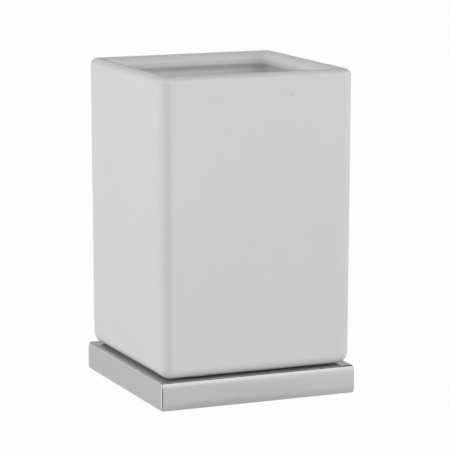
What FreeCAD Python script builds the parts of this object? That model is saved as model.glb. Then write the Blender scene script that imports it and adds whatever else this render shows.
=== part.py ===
import FreeCAD, Part
import os

# A square bathroom tumbler: a slip-cast ceramic cup that stands on a chrome plated tray.
# Millimetres, +Z up. The origin is on the surface it stands on, under the middle of the tray.

# Cup: its sides flare a little from foot to rim, with a rounded lip and a foot ring round a recess
cup_foot_width = 68.3
cup_flare = 0.4
cup_height = 100.0
cup_wall = 5.6
cup_floor = 6.0
cup_edge_radius = 4.0
cup_bottom_radius = 3.9
cavity_edge_radius = 4.4
lip_outer_radius = 2.2
lip_inner_radius = 3.2
lip_crest = 0.2
foot_ring = 5.65
recess_corner_radius = 5.6
recess_mouth_chamfer = 1.0
recess_ceiling_chamfer = 0.8

# Fits between the cup and the tray
seat_gap = 0.3
seat_clearance = 0.6

# Tray: cast, square, hollow underneath, with a raised plinth that enters the cup's recess
tray_margin = 0.95
tray_height = 9.5
tray_edge_radius = 0.7
tray_bottom_chamfer = 0.3
tray_skirt = 2.5
tray_plate = 3.0
hollow_corner_radius = 0.8
hollow_ceiling_chamfer = 0.5
plinth_height = 2.4
plinth_chamfer = 0.6

# Seat pads: soft discs let into the plinth, on which the cup stands
pad_diameter = 8.0
pad_thickness = 1.1
pad_depth = 0.5
pad_chamfer = 0.2
pad_margin = 3.4
pad_clearance = 0.1

# Feet: non-slip discs held in bosses in the corners of the tray's hollow
foot_diameter = 9.0
foot_thickness = 2.0
foot_proud = 0.5
foot_chamfer = 0.3
foot_margin = 0.9
foot_clearance = 0.1
boss_wall = 1.5
boss_setback = 0.4

# Widths that follow from the sizes above
cup_rim_width = cup_foot_width + 2 * cup_flare
recess_width = cup_foot_width - 2 * (cup_bottom_radius + foot_ring)
plinth_width = recess_width - 2 * seat_clearance
tray_width = cup_foot_width + 2 * tray_margin
hollow_width = tray_width - 2 * tray_skirt
pad_pocket_diameter = pad_diameter + 2 * pad_clearance
foot_pocket_diameter = foot_diameter + 2 * foot_clearance

# Levels that follow from the sizes above
tray_bottom = foot_proud
tray_top = tray_bottom + tray_height
hollow_top = tray_top - tray_plate
plinth_top = tray_top + plinth_height
pad_bottom = plinth_top - pad_depth
seat_level = pad_bottom + pad_thickness
cup_bottom = tray_top + seat_gap
cup_top = cup_bottom + cup_height
cavity_bottom = seat_level + cup_floor

# Distances of the pads' and feet's centres from the axis, along X and along Y
pad_reach = (plinth_width - pad_pocket_diameter) / 2 - pad_margin
foot_reach = (hollow_width - foot_pocket_diameter) / 2 - foot_margin

# The lip's two roundings share the wall and leave a narrow crest between them
lip_share = min(1.0, (cup_wall - lip_crest) / (lip_outer_radius + lip_inner_radius))

# How far a cutting body runs past the face that it opens, and a joined one into its neighbour
overrun = 1.0

corners = {
    "front_left": (-1, -1),
    "front_right": (1, -1),
    "back_left": (-1, 1),
    "back_right": (1, 1),
}

drawing = FreeCAD.newDocument("tumbler")


def is_level(edge, level):
    """True where an edge lies in the horizontal plane at a level."""
    box = edge.BoundBox
    return max(abs(box.ZMin - level), abs(box.ZMax - level)) < 0.001


def edges_at(shape, level, width):
    """Edges at a level that lie inside a square of the given width round the axis."""
    def reach(edge):
        box = edge.BoundBox
        return max(-box.XMin, box.XMax, -box.YMin, box.YMax)

    return [edge for edge in shape.Edges if is_level(edge, level) and reach(edge) < width / 2 + 0.001]


def block(lower_width, upper_width, bottom, top):
    """Square block round the axis that tapers evenly between two widths."""
    low = lower_width / 2
    high = upper_width / 2
    wedge = Part.makeWedge(-low, bottom, -low, -high, -high, low, top, low, high, high)
    wedge.rotate(FreeCAD.Vector(0, 0, 0), FreeCAD.Vector(1, 0, 0), 90)
    return wedge


def soft_block(lower_width, upper_width, bottom, top, upright, lower=0, upper=0):
    """Square block with its upright, lower and upper edges rounded together, each to its own radius."""
    sharp = drawing.addObject("Part::Feature", "sharp")
    sharp.Shape = block(lower_width, upper_width, bottom, top)
    radii = []
    for number, edge in enumerate(sharp.Shape.Edges, 1):
        radius = lower if is_level(edge, bottom) else upper if is_level(edge, top) else upright
        if radius > 0:
            radii.append((number, radius, radius))
    soft = drawing.addObject("Part::Fillet", "soft")
    soft.Base = sharp
    soft.Edges = radii
    drawing.recompute()
    return soft.Shape


def disc(diameter, bottom, top, reach, corner):
    """Upright cylinder between two levels, at one of the four corners."""
    centre = FreeCAD.Vector(corner[0] * reach, corner[1] * reach, bottom)
    return Part.makeCylinder(diameter / 2, top - bottom, centre)


def cup_width_at(level):
    """Outer width of the cup's flared sides at a level."""
    return cup_foot_width + 2 * cup_flare * (level - cup_bottom) / cup_height


def make_cavity():
    """Inside of the cup, one wall in from its flared sides, open at the top."""
    above = cup_top + overrun
    return soft_block(
        cup_width_at(cavity_bottom) - 2 * cup_wall, cup_width_at(above) - 2 * cup_wall,
        cavity_bottom, above, cavity_edge_radius, cavity_edge_radius)


def make_recess():
    """Shallow square recess under the cup that leaves the foot ring standing round it."""
    recess = soft_block(recess_width, recess_width, cup_bottom - overrun, seat_level, recess_corner_radius)
    return recess.makeChamfer(recess_ceiling_chamfer, edges_at(recess, seat_level, recess_width))


def make_cup():
    """Flared cup with soft edges, hollowed from both ends, with its lip rounded and its foot ring eased."""
    cup = soft_block(
        cup_foot_width, cup_rim_width, cup_bottom, cup_top,
        cup_edge_radius, cup_bottom_radius, lip_share * lip_outer_radius)
    cup = cup.cut(make_cavity()).cut(make_recess())
    cup = cup.makeChamfer(recess_mouth_chamfer, edges_at(cup, cup_bottom, recess_width))
    return cup.makeFillet(lip_share * lip_inner_radius, edges_at(cup, cup_top, cup_rim_width - 2 * cup_wall))


def make_plinth():
    """Raised square on the tray that centres the cup by its recess."""
    plinth = soft_block(
        plinth_width, plinth_width, tray_top - overrun, plinth_top, recess_corner_radius - seat_clearance)
    return plinth.makeChamfer(plinth_chamfer, edges_at(plinth, plinth_top, plinth_width))


def make_hollow():
    """Hollow that leaves the tray a skirt and a plate, with its ceiling eased into the skirt."""
    hollow = soft_block(hollow_width, hollow_width, tray_bottom - overrun, hollow_top, hollow_corner_radius)
    return hollow.makeChamfer(hollow_ceiling_chamfer, edges_at(hollow, hollow_top, hollow_width))


def make_tray():
    """Square tray with its plinth, a hollow with four foot bosses below, and pockets for pads and feet."""
    tray = soft_block(tray_width, tray_width, tray_bottom, tray_top, tray_edge_radius, 0, tray_edge_radius)
    tray = tray.makeChamfer(tray_bottom_chamfer, edges_at(tray, tray_bottom, tray_width))
    tray = tray.fuse(make_plinth()).cut(make_hollow())
    boss_diameter = foot_pocket_diameter + 2 * boss_wall
    boss_bottom = tray_bottom + boss_setback
    for corner in corners.values():
        boss = disc(boss_diameter, boss_bottom, hollow_top + overrun, foot_reach, corner)
        foot_pocket = disc(foot_pocket_diameter, 0, foot_thickness, foot_reach, corner)
        pad_pocket = disc(pad_pocket_diameter, pad_bottom, plinth_top + overrun, pad_reach, corner)
        tray = tray.fuse(boss).cut(foot_pocket).cut(pad_pocket)
    return tray.removeSplitter()


def make_pad(corner):
    """Soft disc that stands proud of the plinth, with its upper edge eased."""
    pad = disc(pad_diameter, pad_bottom, seat_level, pad_reach, corner)
    return pad.makeChamfer(pad_chamfer, edges_at(pad, seat_level, plinth_width))


def make_foot(corner):
    """Non-slip disc that stands proud of the tray's underside, with its lower edge eased."""
    foot = disc(foot_diameter, 0, foot_thickness, foot_reach, corner)
    return foot.makeChamfer(foot_chamfer, edges_at(foot, 0, hollow_width))


pieces = {"tumbler_cup": make_cup(), "base_tray": make_tray()}
for place, corner in corners.items():
    pieces["seat_pad_" + place] = make_pad(corner)
    pieces["foot_" + place] = make_foot(corner)

os.makedirs("parts", exist_ok=True)
for name, shape in pieces.items():
    shape.exportStep("parts/" + name + ".step")
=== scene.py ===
import math

import bmesh
import bpy
from bpy.props import FloatProperty, FloatVectorProperty, PointerProperty
from mathutils import Matrix, Vector


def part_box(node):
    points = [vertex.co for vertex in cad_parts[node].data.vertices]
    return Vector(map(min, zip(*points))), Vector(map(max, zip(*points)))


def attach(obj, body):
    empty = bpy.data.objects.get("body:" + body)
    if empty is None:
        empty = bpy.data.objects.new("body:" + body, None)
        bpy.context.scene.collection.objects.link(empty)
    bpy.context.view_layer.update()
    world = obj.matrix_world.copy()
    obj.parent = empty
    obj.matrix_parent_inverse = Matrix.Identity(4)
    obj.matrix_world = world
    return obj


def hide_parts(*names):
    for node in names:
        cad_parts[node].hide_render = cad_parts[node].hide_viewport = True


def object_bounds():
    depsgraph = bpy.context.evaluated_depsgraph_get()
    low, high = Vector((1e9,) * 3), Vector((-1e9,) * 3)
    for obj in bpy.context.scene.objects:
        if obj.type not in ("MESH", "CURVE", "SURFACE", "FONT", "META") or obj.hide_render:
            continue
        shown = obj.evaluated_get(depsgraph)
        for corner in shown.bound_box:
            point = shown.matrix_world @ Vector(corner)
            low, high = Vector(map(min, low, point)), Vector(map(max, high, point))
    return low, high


bl_info = {
    "name": "Bathroom tumbler",
    "version": (1, 0, 0),
    "blender": (4, 5, 0),
    "location": "View3D > Sidebar > Tumbler",
    "description": "Builds a square glazed tumbler on its chrome plated tray, with a studio to show it in",
    "category": "Object",
}

MM = 0.001

# Fineness of the meshes
ARC_STEPS = 16
ROLL_STEPS = 6
FILLET_ANGLE = math.radians(25)
MERGE_DISTANCE = 0.001 * MM

# Soft panels of the light tent: direction from the front, and the half angles where each starts and ends its fade
LEFT_PANEL = tuple(map(math.radians, (-120, 22, 41)))
RIGHT_PANEL = tuple(map(math.radians, (26, 54, 70)))
# Heights on the tent, as Z of a unit direction: it fades to its overhead level, and is dimmer at the horizon
FADE_START, FADE_END = 0.45, 0.82
HORIZON_SHARE, HORIZON_END = 0.58, 0.2
# Levels of the tent and the floor as the camera sees them, and the most that chrome mirrors of a panel
BACKDROP_LEVEL = 0.985
FLOOR_SHARE = 0.97
MIRRORED_MOST = 1.3

# Mirrored floor, with painted shade and light: its white share in the open, its painted shadow at the tray's front,
# its share left of the tray, and the gain of its painted light to the right
OPEN_SHARE, PAINTED_SHADOW_SHARE, LEFT_SHARE = 0.5, 0.25, 0.48
FRONT_REACH = 14 * MM
PAINTED_LIGHT_GAIN, RIGHT_REACH = 0.3, 60 * MM
# Its painted white before the left panel, and the half angles and depth of the painted dark patch, which stands in
# for the dark side where the camera stands
PAINTED_GLOW_SECTOR = tuple(map(math.radians, (-105, 38, 46)))
PAINTED_DARK_HALF_ANGLES = tuple(map(math.radians, (16, 34)))
PAINTED_DARK_DEPTH = 0.75
FLOOR_HALF_WIDTH = 6.0

# Point that the camera looks at: right and up in the picture, and above the floor
AIM_RIGHT, AIM_UP, AIM_RISE = 2.2 * MM, 53.45 * MM, 0.5 * MM
SENSOR_WIDTH = 36.0
NEAR_CLIP = 0.01

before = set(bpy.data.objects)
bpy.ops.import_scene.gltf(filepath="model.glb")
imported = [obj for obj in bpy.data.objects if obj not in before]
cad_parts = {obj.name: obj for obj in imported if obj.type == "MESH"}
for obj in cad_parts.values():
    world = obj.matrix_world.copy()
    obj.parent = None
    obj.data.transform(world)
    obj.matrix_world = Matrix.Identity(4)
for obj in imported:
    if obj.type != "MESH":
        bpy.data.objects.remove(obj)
cad_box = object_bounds()
cup_low, cup_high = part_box("tumbler_cup")
pad_low, pad_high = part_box("seat_pad_back_right")
foot_low, foot_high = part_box("foot_back_right")
tray_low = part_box("base_tray")[0]
# Ledge of the tray, below the top of its plinth
tray_level = 10.0 * MM
CORNERS = ("front_left", "front_right", "back_left", "back_right")


def linear(hex_colour):
    """Linear RGBA of an sRGB colour that is written as #RRGGBB."""
    shares = [int(hex_colour[place:place + 2], 16) / 255 for place in (1, 3, 5)]
    return tuple(s / 12.92 if s <= 0.04045 else ((s + 0.055) / 1.055) ** 2.4 for s in shares) + (1.0,)


def add_node(tree, kind, inputs=None, **settings):
    """Adds a node to a tree, sets it up, and gives each named or numbered input its value or its link."""
    node = tree.nodes.new(kind)
    for name, value in settings.items():
        setattr(node, name, value)
    for key, value in (inputs or {}).items():
        if isinstance(value, bpy.types.NodeSocket):
            tree.links.new(value, node.inputs[key])
        else:
            node.inputs[key].default_value = value
    return node


def new_material(name):
    """Material that holds only its output node; returns it with its tree and that output."""
    material = bpy.data.materials.new(name)
    material.use_nodes = True
    tree = material.node_tree
    tree.nodes.clear()
    return material, tree, add_node(tree, "ShaderNodeOutputMaterial")


def direction(azimuth, elevation):
    """Unit vector from the tumbler outwards; azimuth 0 is in front of it."""
    return Vector((
        math.sin(azimuth) * math.cos(elevation), -math.cos(azimuth) * math.cos(elevation), math.sin(elevation)))


def soft_sector(tree, toward, azimuth, inner, outer, most):
    """Level that is full within a half angle of a direction, and fades to nothing at a wider one."""
    facing = add_node(
        tree, "ShaderNodeVectorMath", {0: toward, 1: direction(azimuth, 0.0)},
        operation="DOT_PRODUCT").outputs["Value"]
    return add_node(
        tree, "ShaderNodeMapRange",
        {"Value": facing, "From Min": math.cos(outer), "From Max": math.cos(inner), "To Max": most},
        interpolation_type="SMOOTHSTEP").outputs[0]


def size_property(label, text, default):
    """Length in metres that a user may change."""
    return FloatProperty(name=label, description=text, default=default, min=0.0, precision=5, subtype="DISTANCE")


def colour_property(label, text, hex_colour):
    """Surface colour that a user may change, given as sRGB hex."""
    return FloatVectorProperty(
        name=label, description=text, default=linear(hex_colour), size=4, min=0.0, max=1.0, subtype="COLOR")


class CupSettings(bpy.types.PropertyGroup):
    """Sizes and colours of the glazed cup."""
    rim_width: size_property("Rim width", "Outer width across the rim", cup_high.x - cup_low.x)
    flare: size_property("Flare", "How far each side leans out between foot and rim", 0.4 * MM)
    wall: size_property("Wall", "Thickness of the sides", 5.6 * MM)
    floor: size_property("Floor", "Thickness of the bottom over the recess", 6.0 * MM)
    edge_radius: size_property("Edge radius", "Rounding of the four upright edges", 4.0 * MM)
    bottom_radius: size_property("Bottom radius", "Rounding between the sides and the foot ring", 3.9 * MM)
    lip_outer_radius: size_property("Outer lip radius", "Rounding of the rim on the outside", 2.2 * MM)
    lip_inner_radius: size_property("Inner lip radius", "Rounding of the rim on the inside", 3.0 * MM)
    bead_height: size_property("Bead height", "Height of the soft bead inside the rim", 4.0 * MM)
    bead_radius: size_property("Bead radius", "Rounding of the bead on its underside", 1.2 * MM)
    throat_depth: size_property("Throat depth", "How far the wall draws back under the bead", 1.0 * MM)
    throat_drop: size_property("Throat drop", "Height over which the wall draws back", 1.7 * MM)
    throat_radius: size_property("Throat radius", "Hollow rounding between the bead and the wall", 2.4 * MM)
    cavity_radius: size_property("Inside radius", "Rounding of the edges inside the cup", 4.4 * MM)
    recess_width: size_property("Recess width", "Width of the recess inside the foot ring", 49.2 * MM)
    recess_radius: size_property("Recess corner radius", "Rounding of the recess in plan", 5.6 * MM)
    recess_ease: size_property("Recess edge radius", "Softening of the recess at its mouth and ceiling", 0.8 * MM)
    glaze: colour_property("Glaze", "Colour of the glazed body", "#DEDEDE")
    biscuit: colour_property("Biscuit", "Colour of the bare fired clay on the foot ring", "#E0DEDA")
    speck: colour_property("Speck", "Colour of the odd pinhole in the glaze", "#8F8C86")


class TraySettings(bpy.types.PropertyGroup):
    """Edge and colour of the chrome plated tray."""
    edge_radius: size_property("Edge radius", "Rounding of the tray's upper edge", 0.7 * MM)
    bottom_chamfer: size_property("Bottom chamfer", "Easing of the tray's lower edge", 0.3 * MM)
    roll_height: size_property("Roll height", "Height over which polishing has rolled the sides in", 2.6 * MM)
    roll_depth: size_property("Roll depth", "How far the sides roll in below the upper edge", 0.2 * MM)
    lower_roll_height: size_property("Lower roll height", "Height of the same roll above the lower edge", 2.2 * MM)
    lower_roll_depth: size_property("Lower roll depth", "How far the sides roll in above the lower edge", 0.16 * MM)
    chrome: colour_property("Chrome", "Colour of the plated metal", "#CFCFCF")


class DiscSettings(bpy.types.PropertyGroup):
    """Sizes and colours of the seat pads and the feet."""
    pad_edge_radius: size_property("Pad edge radius", "Rounding of a pad's upper edge", 0.2 * MM)
    foot_edge_radius: size_property("Foot edge radius", "Rounding of a foot's lower edge", 0.3 * MM)
    silicone: colour_property("Silicone", "Colour of the clear soft pads", "#E3E5E4")
    rubber: colour_property("Rubber", "Colour of the non-slip feet", "#2C2C2D")


class StageSettings(bpy.types.PropertyGroup):
    """Floor, light and camera of the studio."""
    floor: colour_property("Floor", "Colour of the studio floor", "#F4F4F4")
    azimuth: FloatProperty(
        name="Azimuth", description="Camera's direction round the tumbler, from the front",
        default=math.radians(-23.0), subtype="ANGLE")
    elevation: FloatProperty(
        name="Elevation", description="Camera's height above the horizon",
        default=math.radians(9.82), subtype="ANGLE")
    distance: size_property("Distance", "From the tumbler's axis to the camera", 0.874)
    lens: FloatProperty(name="Lens", description="Focal length of the camera", default=202.5, unit="CAMERA")
    overhead: FloatProperty(name="Overhead", description="Level of the light from above", default=0.16, min=0.0)
    surround: FloatProperty(name="Surround", description="Level of the even light all round", default=0.46, min=0.0)
    left_panel: FloatProperty(name="Left panel", description="Soft light from the left", default=3.6, min=0.0)
    right_panel: FloatProperty(
        name="Right panel", description="Soft light from the front right", default=1.43, min=0.0)
    # Direction of a painted dark patch on the mirrored floor, where no card stands; mirrored, it draws the edges
    painted_dark_azimuth: FloatProperty(
        name="Card azimuth", description="Direction of the dark card that draws the edges",
        default=math.radians(-18.0), subtype="ANGLE")


def new_tree(name, inputs):
    """Geometry tree with named inputs and one geometry output; returns it with its inputs by name."""
    tree = bpy.data.node_groups.new(name, "GeometryNodeTree")
    for label, kind in inputs.items():
        tree.interface.new_socket(label, in_out="INPUT", socket_type=kind)
    tree.interface.new_socket("Geometry", in_out="OUTPUT", socket_type="NodeSocketGeometry")
    return tree, add_node(tree, "NodeGroupInput").outputs


def rounded_section(tree, halves, levels, centres, radii, steps):
    """Half section from axis to axis: straight runs between its corners, each rounded to its own radius.
    centres holds how far the plan's corner centres lie from the axis, and goes along as an attribute."""
    index = add_node(tree, "GeometryNodeInputIndex").outputs[0]
    line = add_node(tree, "GeometryNodeCurvePrimitiveLine").outputs[0]
    run = add_node(tree, "GeometryNodeResampleCurve", {"Curve": line, "Count": len(halves)}).outputs[0]
    places = [add_node(tree, "ShaderNodeCombineXYZ", {"X": x, "Z": z}).outputs[0] for x, z in zip(halves, levels)]
    picked = []
    for kind, values in (("VECTOR", places), ("FLOAT", centres), ("FLOAT", radii)):
        pick = add_node(tree, "GeometryNodeIndexSwitch", {"Index": index}, data_type=kind)
        for _ in values[2:]:
            pick.index_switch_items.new()
        for number, value in enumerate(values, 1):
            if isinstance(value, bpy.types.NodeSocket):
                tree.links.new(value, pick.inputs[number])
            else:
                pick.inputs[number].default_value = value
        picked.append(pick.outputs[0])
    bent = add_node(tree, "GeometryNodeSetPosition", {"Geometry": run, "Position": picked[0]}).outputs[0]
    marked = add_node(
        tree, "GeometryNodeStoreNamedAttribute", {"Geometry": bent, "Name": "corner", "Value": picked[1]}).outputs[0]
    return add_node(
        tree, "GeometryNodeFilletCurve", {"Curve": marked, "Radius": picked[2], "Count": steps},
        mode="POLY").outputs[0]


def loft_tree():
    """Carries a half section round a square with rounded corners, or round a circle where the centres are 0."""
    name = "rounded_square_loft"
    if name in bpy.data.node_groups:
        return bpy.data.node_groups[name]
    tree, given = new_tree(name, {"Section": "NodeSocketGeometry", "Arc Steps": "NodeSocketInt"})
    index = add_node(tree, "GeometryNodeInputIndex").outputs[0]
    count = add_node(
        tree, "GeometryNodeAttributeDomainSize", {"Geometry": given["Section"]}, component="CURVE").outputs[0]
    per_corner = add_node(
        tree, "FunctionNodeIntegerMath", {0: given["Arc Steps"], 1: 1}, operation="ADD").outputs[0]
    around = add_node(tree, "FunctionNodeIntegerMath", {0: per_corner, 1: 4}, operation="MULTIPLY").outputs[0]
    closed = add_node(tree, "FunctionNodeIntegerMath", {0: around, 1: 1}, operation="ADD").outputs[0]
    grid = add_node(tree, "GeometryNodeMeshGrid", {"Vertices X": count, "Vertices Y": closed}).outputs[0]
    station = add_node(tree, "FunctionNodeIntegerMath", {0: index, 1: closed}, operation="DIVIDE_FLOOR").outputs[0]
    place = add_node(tree, "FunctionNodeIntegerMath", {0: index, 1: closed}, operation="MODULO").outputs[0]
    turn = add_node(tree, "FunctionNodeIntegerMath", {0: place, 1: around}, operation="MODULO").outputs[0]
    corner = add_node(tree, "FunctionNodeIntegerMath", {0: turn, 1: per_corner}, operation="DIVIDE_FLOOR").outputs[0]
    step = add_node(tree, "FunctionNodeIntegerMath", {0: turn, 1: per_corner}, operation="MODULO").outputs[0]
    share = add_node(tree, "ShaderNodeMath", {0: step, 1: given["Arc Steps"]}, operation="DIVIDE").outputs[0]
    quarters = add_node(tree, "ShaderNodeMath", {0: corner, 1: share}, operation="ADD").outputs[0]
    corner_angle = add_node(tree, "ShaderNodeMath", {0: corner, 1: math.pi / 2}, operation="MULTIPLY").outputs[0]
    arm_angle = add_node(tree, "ShaderNodeMath", {0: quarters, 1: math.pi / 2}, operation="MULTIPLY").outputs[0]
    here = add_node(tree, "GeometryNodeInputPosition").outputs[0]
    spot = add_node(
        tree, "GeometryNodeSampleIndex", {"Geometry": given["Section"], "Value": here, "Index": station},
        data_type="FLOAT_VECTOR").outputs[0]
    named = add_node(tree, "GeometryNodeInputNamedAttribute", {"Name": "corner"}, data_type="FLOAT").outputs[0]
    centre = add_node(
        tree, "GeometryNodeSampleIndex", {"Geometry": given["Section"], "Value": named, "Index": station},
        data_type="FLOAT").outputs[0]
    half, _, level = add_node(tree, "ShaderNodeSeparateXYZ", {0: spot}).outputs
    radius = add_node(tree, "ShaderNodeMath", {0: half, 1: centre}, operation="SUBTRACT").outputs[0]
    centre_place = add_node(tree, "ShaderNodeCombineXYZ", {"X": centre, "Y": centre}).outputs[0]
    arm = add_node(tree, "ShaderNodeCombineXYZ", {"X": radius, "Z": level}).outputs[0]
    turned_centre = add_node(
        tree, "ShaderNodeVectorRotate", {"Vector": centre_place, "Angle": corner_angle},
        rotation_type="Z_AXIS").outputs[0]
    turned_arm = add_node(
        tree, "ShaderNodeVectorRotate", {"Vector": arm, "Angle": arm_angle}, rotation_type="Z_AXIS").outputs[0]
    point = add_node(tree, "ShaderNodeVectorMath", {0: turned_centre, 1: turned_arm}, operation="ADD").outputs[0]
    shaped = add_node(tree, "GeometryNodeSetPosition", {"Geometry": grid, "Position": point}).outputs[0]
    outward = add_node(tree, "GeometryNodeFlipFaces", {"Mesh": shaped}).outputs[0]
    joined = add_node(
        tree, "GeometryNodeMergeByDistance", {"Geometry": outward, "Distance": MERGE_DISTANCE}).outputs[0]
    smooth = add_node(tree, "GeometryNodeSetShadeSmooth", {"Geometry": joined}).outputs[0]
    add_node(tree, "NodeGroupOutput", {0: smooth})
    return tree


def cup_tree():
    """The cup as one loft: recess, foot ring, flared outside, rounded lip and hollow inside."""
    lengths = (
        "Foot Half Width", "Rim Half Width", "Mouth Half Width", "Throat Half Width", "Cavity Half Width",
        "Recess Half Width", "Foot Level", "Rim Level", "Bead Level", "Throat Level", "Recess Level", "Cavity Level",
        "Edge Radius", "Bottom Radius", "Outer Lip Radius", "Inner Lip Radius", "Bead Radius", "Throat Radius",
        "Cavity Radius", "Recess Radius", "Recess Ease")
    kinds = {name: "NodeSocketFloat" for name in lengths}
    tree, given = new_tree("glazed_cup", {**kinds, "Arc Steps": "NodeSocketInt", "Glaze": "NodeSocketMaterial"})
    # Each corner of the section: its half width, level and rounding, and what its corner in plan is struck from
    stations = (
        ("Recess", "Recess", "Recess Ease", "Recess", "Recess"),
        ("Recess", "Foot", "Recess Ease", "Recess", "Recess"),
        ("Foot", "Foot", "Bottom Radius", "Foot", "Edge"),
        ("Rim", "Rim", "Outer Lip Radius", "Rim", "Edge"),
        ("Mouth", "Rim", "Inner Lip Radius", "Mouth", "Cavity"),
        ("Mouth", "Bead", "Bead Radius", "Mouth", "Cavity"),
        ("Throat", "Throat", "Throat Radius", "Mouth", "Cavity"),
        ("Cavity", "Cavity", "Cavity Radius", "Cavity", "Cavity"))
    halves = [given[station[0] + " Half Width"] for station in stations]
    levels = [given[station[1] + " Level"] for station in stations]
    radii = [given[station[2]] for station in stations]
    centres = [
        add_node(
            tree, "ShaderNodeMath", {0: given[station[3] + " Half Width"], 1: given[station[4] + " Radius"]},
            operation="SUBTRACT").outputs[0]
        for station in stations]
    section = rounded_section(
        tree, [0.0, *halves, 0.0], [levels[0], *levels, levels[-1]], [0.0, *centres, 0.0], [0.0, *radii, 0.0],
        given["Arc Steps"])
    loft = add_node(
        tree, "GeometryNodeGroup", {"Section": section, "Arc Steps": given["Arc Steps"]},
        node_tree=loft_tree())
    real = add_node(tree, "GeometryNodeRealizeInstances", {0: loft.outputs[0]}).outputs[0]
    glazed = add_node(tree, "GeometryNodeSetMaterial", {"Geometry": real, "Material": given["Glaze"]}).outputs[0]
    add_node(tree, "NodeGroupOutput", {0: glazed})
    return tree


def disc_tree():
    """Four like discs, one at each corner, with their lower and upper edges rounded."""
    name = "corner_discs"
    if name in bpy.data.node_groups:
        return bpy.data.node_groups[name]
    lengths = ("Radius", "Bottom", "Top", "Lower Edge Radius", "Upper Edge Radius", "Reach")
    kinds = {length: "NodeSocketFloat" for length in lengths}
    tree, given = new_tree(name, {**kinds, "Arc Steps": "NodeSocketInt", "Finish": "NodeSocketMaterial"})
    section = rounded_section(
        tree, [0.0, given["Radius"], given["Radius"], 0.0],
        [given["Bottom"], given["Bottom"], given["Top"], given["Top"]], [0.0, 0.0, 0.0, 0.0],
        [0.0, given["Lower Edge Radius"], given["Upper Edge Radius"], 0.0], given["Arc Steps"])
    loft = add_node(
        tree, "GeometryNodeGroup", {"Section": section, "Arc Steps": given["Arc Steps"]},
        node_tree=loft_tree())
    span = add_node(tree, "ShaderNodeMath", {0: given["Reach"], 1: 2.0}, operation="MULTIPLY").outputs[0]
    corners = add_node(
        tree, "GeometryNodeMeshGrid", {"Size X": span, "Size Y": span, "Vertices X": 2, "Vertices Y": 2}).outputs[0]
    discs = add_node(
        tree, "GeometryNodeInstanceOnPoints", {"Points": corners, "Instance": loft.outputs[0]}).outputs[0]
    real = add_node(tree, "GeometryNodeRealizeInstances", {0: discs}).outputs[0]
    finished = add_node(tree, "GeometryNodeSetMaterial", {"Geometry": real, "Material": given["Finish"]}).outputs[0]
    add_node(tree, "NodeGroupOutput", {0: finished})
    return tree


def grown(name, tree, values):
    """Object with the plain mesh that a geometry tree gives for these values."""
    piece = bpy.data.objects.new(name, bpy.data.meshes.new(name))
    bpy.context.scene.collection.objects.link(piece)
    modifier = piece.modifiers.new(name, "NODES")
    modifier.node_group = tree
    for item in tree.interface.items_tree:
        if item.in_out == "INPUT":
            modifier[item.identifier] = values[item.name]
    evaluated = piece.evaluated_get(bpy.context.evaluated_depsgraph_get())
    mesh = bpy.data.meshes.new_from_object(evaluated)
    piece.modifiers.remove(modifier)
    piece.data = mesh
    mesh.name = name
    mesh.set_sharp_from_angle(angle=FILLET_ANGLE)
    return piece


def even_shading(piece):
    """Lets the large flat faces set the shading where they meet a rounding, as on a pressed or cast part."""
    weighted = piece.modifiers.new("even_shading", "WEIGHTED_NORMAL")
    weighted.keep_sharp = True


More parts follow.
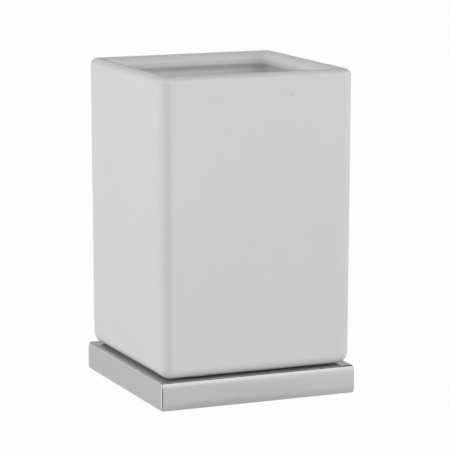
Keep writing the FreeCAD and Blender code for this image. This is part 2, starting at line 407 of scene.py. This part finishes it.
def glazed_stoneware(settings):
    """Slip-cast stoneware under a white glaze: glossy and a little uneven, with the odd pinhole.
    The foot ring is wiped before firing, so there it is bare, matt and slightly warm."""
    pool_width, pinhole_cell, peel_width = 40 * MM, 14 * MM, 3 * MM
    bare_height, glazed_height = 0.15 * MM, 0.35 * MM
    material, tree, output = new_material("glazed_stoneware")
    place = add_node(tree, "ShaderNodeTexCoord").outputs["Object"]
    # Glaze runs a little thicker and thinner over wide areas
    pooling = add_node(
        tree, "ShaderNodeTexNoise", {"Vector": place, "Scale": 1 / pool_width, "Detail": 2.0}).outputs["Fac"]
    shade = add_node(
        tree, "ShaderNodeMapRange",
        {"Value": pooling, "From Min": 0.3, "From Max": 0.7, "To Min": 0.985, "To Max": 1.0})
    # Painted shade: the glaze is made up to 4% darker toward the foot, standing in for the shade that falls low on
    # the cup
    level = add_node(tree, "ShaderNodeSeparateXYZ", {0: place}).outputs["Z"]
    run = add_node(
        tree, "ShaderNodeMapRange",
        {"Value": level, "From Min": cup_low.z, "From Max": cup_high.z, "To Min": 0.96, "To Max": 1.0})
    # depth is the random pooling times the painted shade toward the foot
    depth = add_node(
        tree, "ShaderNodeMath", {0: shade.outputs[0], 1: run.outputs[0]}, operation="MULTIPLY").outputs[0]
    tint = add_node(
        tree, "ShaderNodeVectorMath", {0: settings.glaze[:3], "Scale": depth}, operation="SCALE").outputs[0]
    # Pinholes about half a millimetre across, in about one of five cells
    cells = add_node(tree, "ShaderNodeTexVoronoi", {"Vector": place, "Scale": 1 / pinhole_cell})
    near = add_node(
        tree, "ShaderNodeMapRange",
        {"Value": cells.outputs["Distance"], "From Min": 0.012, "From Max": 0.024, "To Min": 1.0, "To Max": 0.0})
    chance = add_node(tree, "ShaderNodeSeparateColor", {0: cells.outputs["Color"]}).outputs[0]
    picked = add_node(tree, "ShaderNodeMath", {0: chance, 1: 0.78}, operation="GREATER_THAN").outputs[0]
    pinhole = add_node(tree, "ShaderNodeMath", {0: near.outputs[0], 1: picked}, operation="MULTIPLY").outputs[0]
    specked = add_node(
        tree, "ShaderNodeMix", {"Factor": pinhole, 6: tint, 7: tuple(settings.speck)}, data_type="RGBA").outputs[2]
    # The wiped foot ring ends in a soft line just above the surface that it stands on
    bare = add_node(
        tree, "ShaderNodeMapRange",
        {"Value": level, "From Min": cup_low.z + bare_height, "From Max": cup_low.z + glazed_height,
         "To Min": 1.0, "To Max": 0.0}).outputs[0]
    colour = add_node(
        tree, "ShaderNodeMix", {"Factor": bare, 6: specked, 7: tuple(settings.biscuit)}, data_type="RGBA").outputs[2]
    roughness = add_node(
        tree, "ShaderNodeMapRange", {"Value": bare, "To Min": 0.1, "To Max": 0.8}).outputs[0]
    # Orange peel of the glaze, a few millimetres from crest to crest
    peel = add_node(
        tree, "ShaderNodeTexNoise", {"Vector": place, "Scale": 1 / peel_width, "Detail": 1.0}).outputs["Fac"]
    bump = add_node(
        tree, "ShaderNodeBump", {"Strength": 0.15, "Distance": 0.02 * MM, "Height": peel}).outputs[0]
    surface = add_node(
        tree, "ShaderNodeBsdfPrincipled",
        {"Base Color": colour, "Roughness": roughness, "IOR": 1.5, "Normal": bump})
    tree.links.new(surface.outputs[0], output.inputs["Surface"])
    return material


def chrome_plate(settings):
    """Bright chrome over polished die-cast zinc: a clear mirror, with the faint haze of polishing and handling."""
    material, tree, output = new_material("chrome_plated_zinc")
    place = add_node(tree, "ShaderNodeTexCoord").outputs["Object"]
    # Haze left by polishing and handling, in broad patches
    patch_width = 12 * MM
    haze = add_node(
        tree, "ShaderNodeTexNoise", {"Vector": place, "Scale": 1 / patch_width, "Detail": 3.0}).outputs["Fac"]
    roughness = add_node(
        tree, "ShaderNodeMapRange",
        {"Value": haze, "From Min": 0.3, "From Max": 0.7, "To Min": 0.12, "To Max": 0.18}).outputs[0]
    surface = add_node(
        tree, "ShaderNodeBsdfPrincipled",
        {"Base Color": tuple(settings.chrome), "Metallic": 1.0, "Roughness": roughness})
    tree.links.new(surface.outputs[0], output.inputs["Surface"])
    return material


def clear_silicone(settings):
    """Moulded silicone: milky and half clear, with a satin skin."""
    material, tree, output = new_material("clear_silicone")
    place = add_node(tree, "ShaderNodeTexCoord").outputs["Object"]
    # Cloudiness of the pad, in small wisps
    wisp_width = 2 * MM
    cloud = add_node(
        tree, "ShaderNodeTexNoise", {"Vector": place, "Scale": 1 / wisp_width, "Detail": 2.0}).outputs["Fac"]
    roughness = add_node(
        tree, "ShaderNodeMapRange", {"Value": cloud, "To Min": 0.3, "To Max": 0.5}).outputs[0]
    surface = add_node(
        tree, "ShaderNodeBsdfPrincipled",
        {"Base Color": tuple(settings.silicone), "Roughness": roughness, "IOR": 1.41, "Transmission Weight": 0.5})
    tree.links.new(surface.outputs[0], output.inputs["Surface"])
    return material


def black_rubber(settings):
    """Moulded rubber: nearly black, matt, with a fine grain from the mould and a little dust."""
    material, tree, output = new_material("black_rubber")
    place = add_node(tree, "ShaderNodeTexCoord").outputs["Object"]
    # Fine grain from the mould
    grain_width = 0.4 * MM
    grain = add_node(
        tree, "ShaderNodeTexNoise", {"Vector": place, "Scale": 1 / grain_width, "Detail": 1.0}).outputs["Fac"]
    roughness = add_node(
        tree, "ShaderNodeMapRange", {"Value": grain, "To Min": 0.65, "To Max": 0.85}).outputs[0]
    bump = add_node(
        tree, "ShaderNodeBump", {"Strength": 0.3, "Distance": 0.05 * MM, "Height": grain}).outputs[0]
    surface = add_node(
        tree, "ShaderNodeBsdfPrincipled",
        {"Base Color": tuple(settings.rubber), "Roughness": roughness, "IOR": 1.52, "Normal": bump})
    tree.links.new(surface.outputs[0], output.inputs["Surface"])
    return material


def white_sweep(settings):
    """Matt white studio paper: it reads as plain white, with only a trace of the tumbler's shadow."""
    material, tree, output = new_material("white_sweep")
    rays = add_node(tree, "ShaderNodeLightPath").outputs
    seen = add_node(
        tree, "ShaderNodeMath", {0: rays["Is Camera Ray"], 1: rays["Is Transmission Ray"]}, operation="MAXIMUM")
    direct = add_node(tree, "ShaderNodeMath", {0: seen.outputs[0], 1: FLOOR_SHARE}, operation="MULTIPLY")
    # Mirrored, the paper is greyer and carries painted shade and light: a painted shadow at the tray's front,
    # painted light to the right, painted white before the left panel, and a painted dark patch where the camera
    # stands, which draws the edges that face it
    place = add_node(tree, "ShaderNodeTexCoord").outputs["Object"]
    across, along, _ = add_node(tree, "ShaderNodeSeparateXYZ", {0: place}).outputs
    # Painted shadow on the mirrored paper, deepest at the tray's front
    foot = add_node(
        tree, "ShaderNodeMapRange",
        {"Value": along, "From Min": tray_low.y - FRONT_REACH, "From Max": tray_low.y,
         "To Min": OPEN_SHARE, "To Max": PAINTED_SHADOW_SHARE})
    # Painted light on the mirrored paper, growing toward the right
    painted_right_light = add_node(
        tree, "ShaderNodeMapRange", {"Value": across, "From Max": RIGHT_REACH, "To Max": PAINTED_LIGHT_GAIN})
    front = add_node(
        tree, "ShaderNodeMath", {0: foot.outputs[0], 1: painted_right_light.outputs[0]}, operation="ADD").outputs[0]
    left = add_node(
        tree, "ShaderNodeMath", {0: across, 1: tray_low.x}, operation="LESS_THAN").outputs[0]
    painted_shade_and_light = add_node(tree, "ShaderNodeMix", {"Factor": left, 2: front, 3: LEFT_SHARE}).outputs[0]
    beside = add_node(
        tree, "ShaderNodeVectorMath", {0: place, 1: (tray_low.x, tray_low.y, 0.0)}, operation="SUBTRACT").outputs[0]
    away = add_node(tree, "ShaderNodeVectorMath", {0: beside}, operation="NORMALIZE").outputs[0]
    # Painted light on the mirrored paper before the left panel
    painted_glow = soft_sector(tree, away, *PAINTED_GLOW_SECTOR, 1.0)
    # Painted dark patch on the mirrored paper, standing in for the reflection of the dark side where the camera
    # stands
    painted_dark_patch = soft_sector(tree, away, settings.painted_dark_azimuth, *PAINTED_DARK_HALF_ANGLES, PAINTED_DARK_DEPTH)
    painted_floor_light = add_node(tree, "ShaderNodeMath", {0: painted_shade_and_light, 1: painted_glow}, operation="MAXIMUM").outputs[0]
    mirrored = add_node(tree, "ShaderNodeMath", {0: rays["Is Glossy Ray"], 1: painted_floor_light}, operation="MULTIPLY")
    share = add_node(
        tree, "ShaderNodeMath", {0: direct.outputs[0], 1: mirrored.outputs[0]}, operation="MAXIMUM")
    paper = add_node(tree, "ShaderNodeBsdfDiffuse", {"Color": tuple(settings.floor)})
    white = add_node(tree, "ShaderNodeEmission", {"Strength": 1.0})
    mixed = add_node(
        tree, "ShaderNodeMixShader", {0: share.outputs[0], 1: paper.outputs[0], 2: white.outputs[0]})
    # The painted dark patch shows only in mirrors
    painted_dark_mask = add_node(tree, "ShaderNodeMath", {0: painted_dark_patch, 1: rays["Is Glossy Ray"]}, operation="MULTIPLY")
    dark = add_node(tree, "ShaderNodeEmission", {"Strength": 0.0})
    surface = add_node(
        tree, "ShaderNodeMixShader", {0: painted_dark_mask.outputs[0], 1: mixed.outputs[0], 2: dark.outputs[0]})
    tree.links.new(surface.outputs[0], output.inputs["Surface"])
    return material


class TUMBLER_OT_glazed_cup(bpy.types.Operator):
    """Builds the glazed cup"""
    bl_idname = "tumbler.glazed_cup"
    bl_label = "Glazed cup"

    def execute(self, context):
        cup = context.scene.tumbler_cup
        height = cup_high.z - cup_low.z
        cavity_level = pad_high.z + cup.floor
        foot_half = cup.rim_width / 2 - cup.flare
        values = {
            "Foot Half Width": foot_half, "Rim Half Width": cup.rim_width / 2,
            "Mouth Half Width": cup.rim_width / 2 - cup.wall, "Bead Level": cup_high.z - cup.bead_height,
            "Throat Half Width": cup.rim_width / 2 - cup.wall + cup.throat_depth,
            "Throat Level": cup_high.z - cup.bead_height - cup.throat_drop,
            "Cavity Half Width": foot_half + cup.flare * (cavity_level - cup_low.z) / height - cup.wall,
            "Recess Half Width": cup.recess_width / 2, "Foot Level": cup_low.z, "Rim Level": cup_high.z,
            "Recess Level": pad_high.z, "Cavity Level": cavity_level, "Edge Radius": cup.edge_radius,
            "Bottom Radius": cup.bottom_radius, "Outer Lip Radius": cup.lip_outer_radius,
            "Inner Lip Radius": cup.lip_inner_radius, "Bead Radius": cup.bead_radius,
            "Throat Radius": cup.throat_radius, "Cavity Radius": cup.cavity_radius,
            "Recess Radius": cup.recess_radius, "Recess Ease": cup.recess_ease, "Arc Steps": ARC_STEPS,
            "Glaze": glazed_stoneware(cup)}
        piece = grown("glazed_cup", cup_tree(), values)
        even_shading(piece)
        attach(piece, "cup")
        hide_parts("tumbler_cup")
        return {"FINISHED"}


def roll_in(shape, settings):
    """Rolls the tray's sides in a little toward their upper and lower edges, as a polishing wheel does."""
    # Only the outer skin moves, and not the hollow's side of the skirt
    skin = cad_box[1].x - 1.5 * settings.edge_radius
    ends = (
        (tray_level - settings.edge_radius, 1, settings.roll_height, settings.roll_depth),
        (tray_low.z + settings.bottom_chamfer, -1, settings.lower_roll_height, settings.lower_roll_depth))
    for level, sense, height, depth in ends:
        for step in range(ROLL_STEPS):
            every = [*shape.verts, *shape.edges, *shape.faces]
            cut = level - sense * height * (1 - step / ROLL_STEPS)
            bmesh.ops.bisect_plane(shape, geom=every, dist=MERGE_DISTANCE, plane_co=(0, 0, cut), plane_no=(0, 0, 1))
        for point in shape.verts:
            reach = max(abs(point.co.x), abs(point.co.y))
            share = min(1.0, 1 - sense * (level - point.co.z) / height)
            if reach > skin and share > 0:
                narrow = 1 - depth * share ** 2 / reach
                point.co.x *= narrow
                point.co.y *= narrow


class TUMBLER_OT_chrome_tray(bpy.types.Operator):
    """Builds the chrome plated tray from the solid's own faces, joined and smoothed"""
    bl_idname = "tumbler.chrome_tray"
    bl_label = "Chrome tray"

    def execute(self, context):
        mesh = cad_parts["base_tray"].data.copy()
        mesh.name = "chrome_tray"
        # Joining the faces makes the normals that came with them untrue, so they are worked out again
        stale = mesh.attributes.get("custom_normal")
        if stale:
            mesh.attributes.remove(stale)
        shape = bmesh.new()
        shape.from_mesh(mesh)
        bmesh.ops.remove_doubles(shape, verts=shape.verts, dist=MERGE_DISTANCE)
        roll_in(shape, context.scene.tumbler_tray)
        shape.to_mesh(mesh)
        shape.free()
        mesh.shade_smooth()
        mesh.set_sharp_from_angle(angle=FILLET_ANGLE)
        mesh.materials.clear()
        mesh.materials.append(chrome_plate(context.scene.tumbler_tray))
        piece = bpy.data.objects.new("chrome_tray", mesh)
        context.scene.collection.objects.link(piece)
        even_shading(piece)
        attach(piece, "tray")
        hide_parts("base_tray")
        return {"FINISHED"}


class TUMBLER_OT_seat_pads(bpy.types.Operator):
    """Builds the four soft pads that the cup stands on"""
    bl_idname = "tumbler.seat_pads"
    bl_label = "Seat pads"

    def execute(self, context):
        discs = context.scene.tumbler_discs
        values = {
            "Radius": (pad_high.x - pad_low.x) / 2, "Bottom": pad_low.z, "Top": pad_high.z,
            "Lower Edge Radius": 0.0, "Upper Edge Radius": discs.pad_edge_radius,
            "Reach": (pad_high.x + pad_low.x) / 2, "Arc Steps": ARC_STEPS, "Finish": clear_silicone(discs)}
        piece = grown("seat_pads", disc_tree(), values)
        even_shading(piece)
        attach(piece, "tray")
        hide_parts(*["seat_pad_" + corner for corner in CORNERS])
        return {"FINISHED"}


class TUMBLER_OT_rubber_feet(bpy.types.Operator):
    """Builds the four non-slip feet under the tray"""
    bl_idname = "tumbler.rubber_feet"
    bl_label = "Rubber feet"

    def execute(self, context):
        discs = context.scene.tumbler_discs
        values = {
            "Radius": (foot_high.x - foot_low.x) / 2, "Bottom": foot_low.z, "Top": foot_high.z,
            "Lower Edge Radius": discs.foot_edge_radius, "Upper Edge Radius": 0.0,
            "Reach": (foot_high.x + foot_low.x) / 2, "Arc Steps": ARC_STEPS, "Finish": black_rubber(discs)}
        piece = grown("rubber_feet", disc_tree(), values)
        even_shading(piece)
        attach(piece, "tray")
        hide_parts(*["foot_" + corner for corner in CORNERS])
        return {"FINISHED"}


def studio_world(settings):
    """Light tent: an even surround that fades overhead, with broad soft panels on the left and the front right."""
    world = bpy.data.worlds.new("light_tent")
    world.use_nodes = True
    tree = world.node_tree
    tree.nodes.clear()
    toward = add_node(tree, "ShaderNodeTexCoord").outputs["Generated"]
    level = settings.surround - settings.overhead
    for sector, most in ((LEFT_PANEL, settings.left_panel), (RIGHT_PANEL, settings.right_panel)):
        panel = soft_sector(tree, toward, *sector, most)
        level = add_node(tree, "ShaderNodeMath", {0: panel, 1: level}, operation="ADD").outputs[0]
    height = add_node(tree, "ShaderNodeSeparateXYZ", {0: toward}).outputs["Z"]
    fade = add_node(
        tree, "ShaderNodeMapRange",
        {"Value": height, "From Min": FADE_START, "From Max": FADE_END, "To Min": 1.0, "To Max": 0.0},
        interpolation_type="SMOOTHSTEP").outputs[0]
    rise = add_node(
        tree, "ShaderNodeMapRange",
        {"Value": height, "From Max": HORIZON_END, "To Min": HORIZON_SHARE, "To Max": 1.0}).outputs[0]
    upright = add_node(tree, "ShaderNodeMath", {0: fade, 1: rise}, operation="MULTIPLY").outputs[0]
    strength = add_node(
        tree, "ShaderNodeMath", {0: level, 1: upright, 2: settings.overhead}, operation="MULTIPLY_ADD").outputs[0]
    # Mirrored, the panels stay under the level at which chrome would clip to white
    rays = add_node(tree, "ShaderNodeLightPath").outputs
    held = add_node(tree, "ShaderNodeMath", {0: strength, 1: MIRRORED_MOST}, operation="MINIMUM").outputs[0]
    strength = add_node(tree, "ShaderNodeMix", {"Factor": rays["Is Glossy Ray"], 2: strength, 3: held}).outputs[0]
    light = add_node(tree, "ShaderNodeBackground", {"Color": (1.0, 1.0, 1.0, 1.0), "Strength": strength})
    # Seen directly, the tent is plain white like the floor
    seen = add_node(
        tree, "ShaderNodeMath", {0: rays["Is Camera Ray"], 1: rays["Is Transmission Ray"]}, operation="MAXIMUM")
    white = add_node(tree, "ShaderNodeBackground", {"Color": (1.0, 1.0, 1.0, 1.0), "Strength": BACKDROP_LEVEL})
    shown = add_node(
        tree, "ShaderNodeMixShader", {0: seen.outputs[0], 1: light.outputs[0], 2: white.outputs[0]})
    add_node(tree, "ShaderNodeOutputWorld", {"Surface": shown.outputs[0]})
    return world


class TUMBLER_OT_stage(bpy.types.Operator):
    """Builds the studio: floor, light tent and camera"""
    bl_idname = "tumbler.stage"
    bl_label = "Stage"

    def execute(self, context):
        stage = context.scene.tumbler_stage
        scene = context.scene
        scene.view_settings.view_transform = "Standard"
        shape = bmesh.new()
        bmesh.ops.create_grid(shape, x_segments=1, y_segments=1, size=FLOOR_HALF_WIDTH)
        mesh = bpy.data.meshes.new("studio_floor")
        shape.to_mesh(mesh)
        shape.free()
        mesh.materials.append(white_sweep(stage))
        floor = bpy.data.objects.new("studio_floor", mesh)
        scene.collection.objects.link(floor)

        scene.world = studio_world(stage)

        back = direction(stage.azimuth, stage.elevation)
        right = Vector((0, 0, 1)).cross(back).normalized()
        up = back.cross(right)
        data = bpy.data.cameras.new("camera")
        data.lens = stage.lens
        data.sensor_width = SENSOR_WIDTH
        data.clip_start = NEAR_CLIP
        camera = bpy.data.objects.new("camera", data)
        target = right * AIM_RIGHT + up * AIM_UP + Vector((0, 0, AIM_RISE))
        turn = Matrix((right, up, back)).transposed().to_4x4()
        camera.matrix_world = Matrix.Translation(target + back * stage.distance) @ turn
        scene.collection.objects.link(camera)
        scene.camera = camera
        return {"FINISHED"}


class TUMBLER_PT_pieces(bpy.types.Panel):
    """Lists what the add-on builds and the settings that each piece follows"""
    bl_idname = "TUMBLER_PT_pieces"
    bl_label = "Bathroom tumbler"
    bl_space_type = "VIEW_3D"
    bl_region_type = "UI"
    bl_category = "Tumbler"

    def draw(self, context):
        for operator in OPERATORS:
            self.layout.operator(operator.bl_idname)
        for name, kind in SETTINGS.items():
            group = self.layout.box()
            group.label(text=kind.__doc__.rstrip("."))
            for setting in kind.__annotations__:
                group.prop(getattr(context.scene, name), setting)


SETTINGS = {
    "tumbler_cup": CupSettings, "tumbler_tray": TraySettings, "tumbler_discs": DiscSettings,
    "tumbler_stage": StageSettings}
OPERATORS = (
    TUMBLER_OT_glazed_cup, TUMBLER_OT_chrome_tray, TUMBLER_OT_seat_pads, TUMBLER_OT_rubber_feet, TUMBLER_OT_stage)
CLASSES = (*SETTINGS.values(), *OPERATORS, TUMBLER_PT_pieces)


def register():
    """Registers the settings, the operators and the panel."""
    for kind in CLASSES:
        bpy.utils.register_class(kind)
    for name, kind in SETTINGS.items():
        setattr(bpy.types.Scene, name, PointerProperty(type=kind))


def unregister():
    """Takes them out again."""
    for name in SETTINGS:
        delattr(bpy.types.Scene, name)
    for kind in reversed(CLASSES):
        bpy.utils.unregister_class(kind)


def main():
    """Builds the whole scene."""
    register()
    bpy.ops.tumbler.glazed_cup()
    bpy.ops.tumbler.chrome_tray()
    bpy.ops.tumbler.seat_pads()
    bpy.ops.tumbler.rubber_feet()
    bpy.ops.tumbler.stage()


if __name__ == "__main__":
    main()
